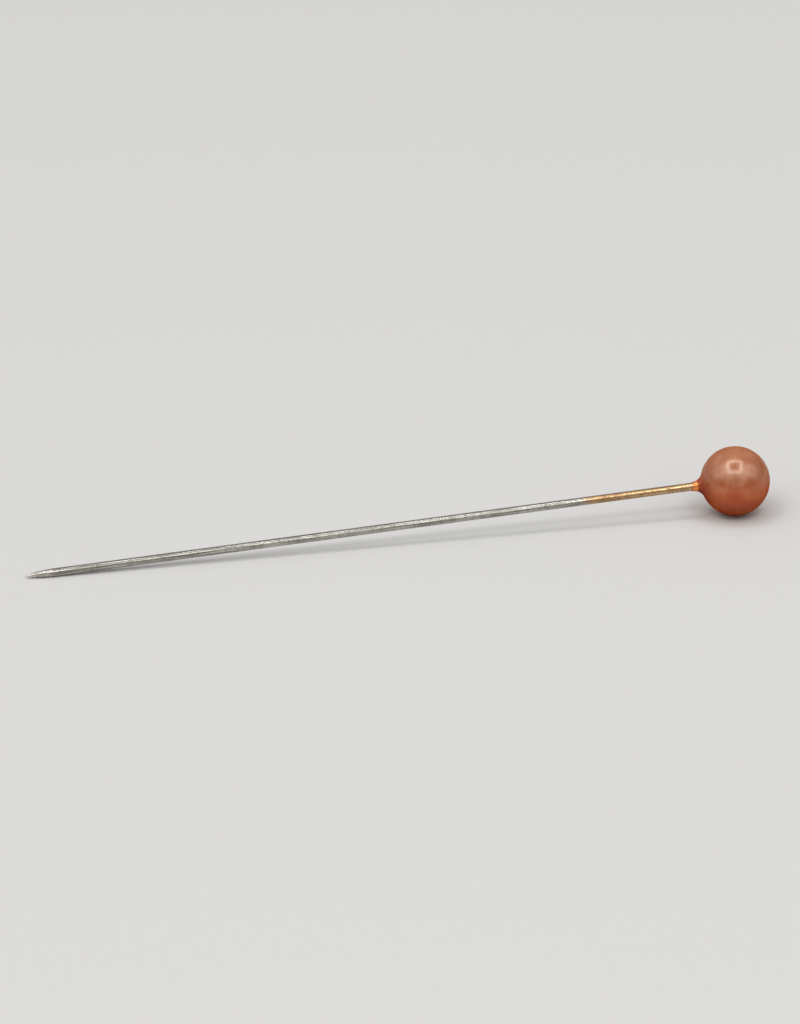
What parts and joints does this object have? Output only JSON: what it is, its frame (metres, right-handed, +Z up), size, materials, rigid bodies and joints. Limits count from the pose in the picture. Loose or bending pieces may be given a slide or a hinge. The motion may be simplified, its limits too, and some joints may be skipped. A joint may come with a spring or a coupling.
{
  "type": "pearl-headed pin",
  "caption": "Straight steel pin with a round pearl head, a short drawn-out neck and a ground point, lying on its side.",
  "frame": {"origin": "on the surface that the pin lies on, below the middle of its box", "axes": "+Z up, +X towards the head and -X towards the point; the wire's axis lies in the XZ plane and falls 2.54 degrees from the head to the point, because the head and the shoulder of the point both touch Z = 0"},
  "size_m": [0.065, 0.006, 0.006],
  "materials": {
    "pearl_coat": "coral copper pearl lacquer under a clear gloss coat, deeper and more orange at the neck",
    "plated_wire": "drawn wire, bright plated, with lengthwise draw lines, fine pits and a gold tint near the head"
  },
  "bodies": {
    "root": {"head": "pearl_coat", "shaft": "plated_wire"}
  },
  "joints": []
}
